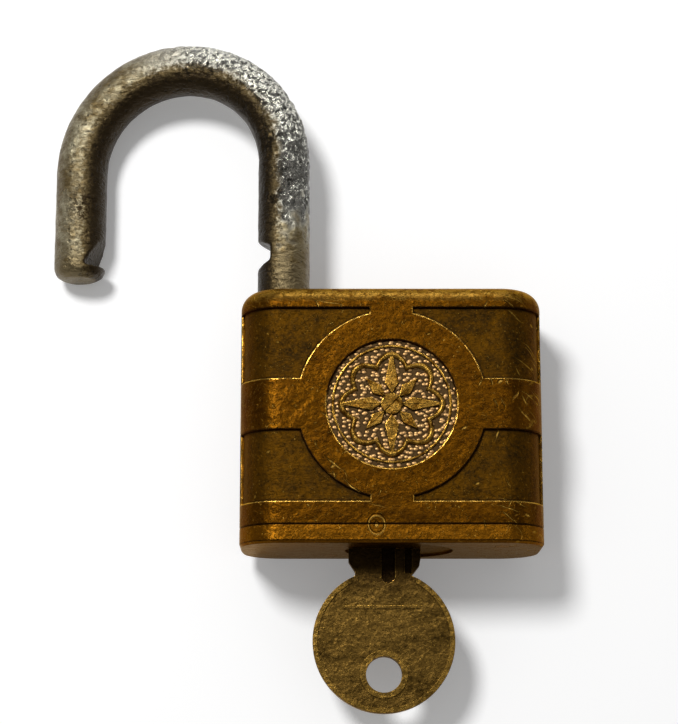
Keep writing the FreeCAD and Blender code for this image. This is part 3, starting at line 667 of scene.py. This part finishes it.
class PADLOCK_OT_case(bpy.types.Operator):
    """Dress the case with worn edges, dark panels and a stippled medallion"""
    bl_idname = "padlock.case"
    bl_label = "Case"

    def execute(self, context):
        sizes = context.scene.padlock_sizes
        bm = merged("case")
        for face in bm.faces:
            p = face.calc_center_median()
            if abs(p.z - GROUND) < 0.05 * MM and off_axis(p) < MEDALLION_R:
                face.material_index = 2
            elif in_panel(face):
                face.material_index = 1

        def on_ornament(edge):
            a, b = (v.co for v in edge.verts)
            return max(a.z, b.z) > GROUND - 0.1 * MM and off_axis(a) < ORNAMENT_R

        def on_outside(edge):
            a, b = (v.co for v in edge.verts)
            return near_outside((a + b) / 2) and not on_ornament(edge)

        round_edges(bm, sizes.edge_round, keep=on_outside, limit=False)
        round_edges(bm, sizes.star_round, keep=on_ornament)
        mark_walls(bm)
        # The rounded top gets a painted highlight that grows as it looks up; the ornament's raised faces are
        # worn
        wear_and_highlight, _ = masks(bm)
        for face in bm.faces:
            p = face.calc_center_median()
            if 0.12 < face.normal.y < 0.97 and p.y > CASE_HIGH.y - TOP_ROUND:
                face[wear_and_highlight] = min(unit(face.normal.y * 0.9 - 0.1), 0.45)
            elif GROUND + 0.1 * MM < p.z < FRONT - 0.1 * MM and off_axis(p) < ORNAMENT_R:
                face[wear_and_highlight] = max(face[wear_and_highlight], 0.30)
        finishes = ["Band brass", "Panel brass", "Stippled ground"]
        smooth(piece("case_dressed", bm, finishes, "case", ["case"]))
        return {"FINISHED"}


class PADLOCK_OT_trim(bpy.types.Operator):
    """Lay the scalloped trim on the medallion's ground"""
    bl_idname = "padlock.trim"
    bl_label = "Medallion trim"

    def execute(self, context):
        sizes = context.scene.padlock_sizes
        centre = Vector((0, MEDALLION_Y, GROUND))
        bm = bmesh.new()
        ring = bmesh.ops.create_circle(bm, cap_ends=False, segments=12, radius=sizes.trim_half)["verts"]
        place = Matrix.Translation(centre + Vector((sizes.trim_radius, 0, 0)))
        bmesh.ops.transform(bm, matrix=place @ Matrix.Rotation(math.pi / 2, 4, "X"), verts=ring)
        bmesh.ops.spin(bm, geom=bm.edges[:], cent=centre, axis=(0, 0, 1), angle=2 * math.pi,
                       steps=24 * sizes.trim_lobes, use_merge=True)
        for v in bm.verts:
            out = v.co - centre
            angle = math.atan2(out.y, out.x)
            swing = sizes.trim_swing * (2 * abs(math.cos(angle * sizes.trim_lobes / 2)) - 1)
            v.co += Vector((out.x, out.y, 0)).normalized() * swing
        bmesh.ops.recalc_face_normals(bm, faces=bm.faces)
        wear_and_highlight = bm.faces.layers.float.new("edge_wear_and_highlight")
        for face in bm.faces:
            face[wear_and_highlight] = 0.45
        obj = piece("medallion_trim", bm, ["Band brass"], "case")
        obj.data.shade_smooth()
        return {"FINISHED"}


class PADLOCK_OT_plate(bpy.types.Operator):
    """Dress the bottom plate and the rivets in it"""
    bl_idname = "padlock.plate"
    bl_label = "Bottom plate"

    def execute(self, context):
        sizes = context.scene.padlock_sizes
        bm = merged("bottom_plate")
        round_edges(bm, sizes.edge_round)
        wear_and_highlight, dirt_and_shade = masks(bm)
        # Dirt fills the seam, and the underside is darkened as painted shade
        for face in bm.faces:
            if face.calc_center_median().y > SEAM - 0.25 * MM and face[wear_and_highlight]:
                face[wear_and_highlight], face[dirt_and_shade] = 0.0, 1.0
            elif face.normal.y < -0.9:
                face[dirt_and_shade] = 0.55
        smooth(piece("bottom_plate_dressed", bm, ["Plate brass"], "case", ["bottom_plate"]))
        for n in (1, 2):
            node = "plate_rivet_%d" % n
            bm = merged(node)
            round_edges(bm, 0.12 * MM)
            smooth(piece(node + "_dressed", bm, ["Plate brass"], "case", [node]))
        return {"FINISHED"}


class PADLOCK_OT_cylinder(bpy.types.Operator):
    """Dress the cylinder face, the plug and the strip over the pin chambers"""
    bl_idname = "padlock.cylinder"
    bl_label = "Cylinder and plug"

    def execute(self, context):
        for node, body in (("cylinder_shell", "case"), ("chamber_cover", "case"), ("plug", "plug")):
            bm = merged(node)
            round_edges(bm, 0.10 * MM)
            smooth(piece(node + "_dressed", bm, ["Cylinder brass"], body, [node]))
        return {"FINISHED"}


class PADLOCK_OT_shackle(bpy.types.Operator):
    """Make the worn shackle: rounded notches, hammer marks and pits"""
    bl_idname = "padlock.shackle"
    bl_label = "Shackle"

    def execute(self, context):
        sizes = context.scene.padlock_sizes
        bm = merged("shackle")
        obj = piece("shackle_dressed", bm, ["Old steel"], "shackle", ["shackle"])
        even = obj.modifiers.new("Even grid", "REMESH")
        even.mode = "VOXEL"
        even.voxel_size = sizes.shackle_grid
        graph = context.evaluated_depsgraph_get()
        mesh = bpy.data.meshes.new_from_object(obj.evaluated_get(graph))
        obj.modifiers.clear()
        obj.data = mesh
        bm = bmesh.new()
        bm.from_mesh(mesh)
        for _ in range(3):
            bmesh.ops.smooth_vert(bm, verts=bm.verts, factor=0.5, use_axis_x=True, use_axis_y=True,
                                  use_axis_z=True)
        bm.normal_update()
        inner = bm.verts.layers.float.new("inner")
        beaten = bm.verts.layers.float.new("beaten")
        top = CASE_HIGH.y
        for v in bm.verts:
            p = v.co / MM
            above = unit((v.co.y - top) / WEAR_GROWS)
            centre = Vector((BEND.x, min(v.co.y, BEND.y), BEND.z))
            facing = v.normal.dot((centre - v.co).normalized())
            right = unit((v.co.x - BEATEN_X) / BEATEN_X_GROWS)
            # How far a face looks into the bend, more so on the right: the steel is painted darker there as
            # shade
            v[inner] = unit(facing * 0.75 + 0.45 + 0.22 * right)
            broad = noise.noise(p * 0.35)
            high = unit((v.co.y - top - BEATEN_UP + BEATEN_WAVE * noise.noise(p * 0.6)) / BEATEN_UP_GROWS)
            # The beaten side grows on faces that look out of the bend, where the steel is partly a painted
            # highlight
            v[beaten] = right * high * unit(0.60 - 1.3 * facing + 0.8 * broad)
            dents = noise.turbulence(p * 0.55, 3, False, noise_basis="PERLIN_ORIGINAL")
            chips = max(noise.noise(p * 0.85 + Vector((7, 3, 1))), 0.0) + 0.6 * max(noise.noise(p * 1.7), 0.0)
            depth = 0.35 * abs(broad) + 0.35 * dents + v[beaten] * (0.3 * dents + 3.4 * chips)
            v.co -= v.normal * depth * above * sizes.hammer_depth
        bm.to_mesh(mesh)
        bm.free()
        mesh.shade_smooth()
        return {"FINISHED"}


class PADLOCK_OT_key(bpy.types.Operator):
    """Dress the key with worn rims and rounded grooves"""
    bl_idname = "padlock.key"
    bl_label = "Key"

    def execute(self, context):
        bm = merged("key")
        round_edges(bm, context.scene.padlock_sizes.key_round)
        wear_and_highlight, dirt_and_shade = masks(bm)
        middle = (KEY_LOW.z + KEY_HIGH.z) / 2
        # The tops of the rims are rubbed a little, and the blade's grooves are darkened as painted shade
        for face in bm.faces:
            p = face.calc_center_median()
            depth = KEY_HIGH.z - middle - abs(p.z - middle)
            if depth < 0.05 * MM and abs(face.normal.z) > 0.9:
                face[wear_and_highlight] = 0.22
            elif p.y > KEY_BLADE and depth > KEY_GROOVE and not face[wear_and_highlight]:
                face[dirt_and_shade] = 0.9
        smooth(piece("key_dressed", bm, ["Key brass"], "key", ["key"]))
        return {"FINISHED"}


class PADLOCK_OT_springs(bpy.types.Operator):
    """Wind the springs from round wire"""
    bl_idname = "padlock.springs"
    bl_label = "Springs"

    def execute(self, context):
        low, high = SPRING_LOW, SPRING_HIGH
        middle = (low + high) / 2
        radius = (high.x - low.x) / 2 - LIFT_WIRE / 2
        start = Vector((middle.x, low.y + LIFT_WIRE / 2, middle.z))
        end = Vector((middle.x, high.y - LIFT_WIRE / 2, middle.z))
        spring = helix("shackle_spring_dressed", radius, LIFT_WIRE, start, end, LIFT_COILS,
                       "case", "shackle_spring")
        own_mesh(spring)
        wound = [("driver_spring_%d" % n, "case", DRIVER_WIRE, DRIVER_COILS) for n in range(1, 6)]
        wound += [("bolt_spring_1", "toe_bolt", BOLT_WIRE, BOLT_COILS),
                  ("bolt_spring_2", "heel_bolt", BOLT_WIRE, BOLT_COILS)]
        for node, body, wire, turns in wound:
            low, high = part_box(node)
            middle = (low + high) / 2
            radius = (high.y - low.y) / 2 - wire / 2
            start = Vector((low.x + wire / 2, middle.y, middle.z))
            end = Vector((high.x - wire / 2, middle.y, middle.z))
            helix(node + "_dressed", radius, wire, start, end, turns, body, node,
                  steps=14, sides=6)
        return {"FINISHED"}


class PADLOCK_OT_inner_parts(bpy.types.Operator):
    """Finish the pins, bolts, cam and clip inside the lock"""
    bl_idname = "padlock.inner_parts"
    bl_label = "Inner parts"

    def execute(self, context):
        finish = {"key_pin": "Turned brass", "driver_pin": "Turned brass", "heel_clip": "Spring wire",
                  "heel_follower": "Bolt steel", "toe_bolt": "Bolt steel", "heel_bolt": "Bolt steel",
                  "cam": "Bolt steel", "cam_screw": "Bolt steel"}
        for name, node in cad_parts.items():
            if node.hide_render:
                continue
            kind = name if name in finish else name.rsplit("_", 1)[0]
            node.data.materials.clear()
            node.data.materials.append(bpy.data.materials[finish[kind]])
        return {"FINISHED"}


class PADLOCK_OT_stage(bpy.types.Operator):
    """Set the floor, the lamps, the fill light and the camera"""
    bl_idname = "padlock.stage"
    bl_label = "Stage"

    def execute(self, context):
        stage = context.scene.padlock_stage
        scene = context.scene
        bm = bmesh.new()
        bmesh.ops.create_grid(bm, x_segments=1, y_segments=1, size=1.6)
        mesh = bpy.data.meshes.new("floor")
        bm.to_mesh(mesh)
        bm.free()
        floor = bpy.data.objects.new("floor", mesh)
        scene.collection.objects.link(floor)
        tree, _, shader = start("Floor")
        shader.inputs["Base Color"].default_value = (*stage.floor, 1)
        shader.inputs["Roughness"].default_value = 0.9
        shader.inputs["Specular IOR Level"].default_value = 0.0
        # The camera and the metal see the floor brighter than it is, and it lights nothing more for that
        path = add(tree, "ShaderNodeLightPath").outputs
        seen = calc(tree, "ADD", path["Is Camera Ray"], path["Is Glossy Ray"], clamp=True)
        seen = calc(tree, "ADD", seen, path["Is Transmission Ray"], clamp=True)
        shader.inputs["Emission Color"].default_value = (1, 1, 1, 1)
        tree.links.new(times(tree, seen, stage.glow), shader.inputs["Emission Strength"])
        mesh.materials.append(bpy.data.materials["Floor"])

        world = bpy.data.worlds.new("Soft studio")
        world.use_nodes = True
        background = world.node_tree.nodes["Background"].inputs
        background["Color"].default_value = (1, 1, 1, 1)
        background["Strength"].default_value = stage.fill
        scene.world = world

        aim = Vector(stage.aim)
        for name, place, size, power, everywhere in LAMPS:
            lamp = bpy.data.lights.new(name, "AREA")
            lamp.shape = "DISK"
            lamp.size = size
            lamp.energy = power
            obj = bpy.data.objects.new(name, lamp)
            obj.location = place
            obj.rotation_euler = (aim - Vector(place)).to_track_quat("-Z", "Y").to_euler()
            # Only the first one throws a shadow on the floor; the others show in the metal
            obj.visible_diffuse = everywhere
            scene.collection.objects.link(obj)

        lens = bpy.data.cameras.new("Camera")
        lens.lens = stage.lens
        lens.sensor_width = 36
        lens.clip_start = 0.01
        camera = bpy.data.objects.new("Camera", lens)
        camera.rotation_euler = Euler((stage.tilt, 0, 0))
        camera.location = aim + camera.rotation_euler.to_matrix() @ Vector((0, 0, stage.distance))
        scene.collection.objects.link(camera)
        scene.camera = camera
        scene.view_settings.view_transform = "Standard"
        return {"FINISHED"}


class PADLOCK_PT_panel(bpy.types.Panel):
    """Lists the padlock's steps and their values"""
    bl_label = "Padlock"
    bl_space_type = "VIEW_3D"
    bl_region_type = "UI"
    bl_category = "Padlock"

    def draw(self, context):
        for step in STEPS:
            self.layout.operator(step.bl_idname)
        scene = context.scene
        for group in (scene.padlock_sizes, scene.padlock_colours, scene.padlock_stage):
            box = self.layout.box()
            for name in group.__annotations__:
                box.prop(group, name)


GROUPS = (PadlockSizes, PadlockColours, PadlockStage)
STEPS = (PADLOCK_OT_finishes, PADLOCK_OT_case, PADLOCK_OT_trim, PADLOCK_OT_plate, PADLOCK_OT_cylinder,
         PADLOCK_OT_shackle, PADLOCK_OT_key, PADLOCK_OT_springs, PADLOCK_OT_inner_parts, PADLOCK_OT_stage)


def register():
    for item in (*GROUPS, *STEPS, PADLOCK_PT_panel):
        bpy.utils.register_class(item)
    bpy.types.Scene.padlock_sizes = PointerProperty(type=PadlockSizes)
    bpy.types.Scene.padlock_colours = PointerProperty(type=PadlockColours)
    bpy.types.Scene.padlock_stage = PointerProperty(type=PadlockStage)


def unregister():
    del bpy.types.Scene.padlock_stage, bpy.types.Scene.padlock_colours, bpy.types.Scene.padlock_sizes
    for item in reversed((*GROUPS, *STEPS, PADLOCK_PT_panel)):
        bpy.utils.unregister_class(item)


def main():
    register()
    for step in STEPS:
        group, name = step.bl_idname.split(".")
        getattr(getattr(bpy.ops, group), name)()


if __name__ == "__main__":
    main()
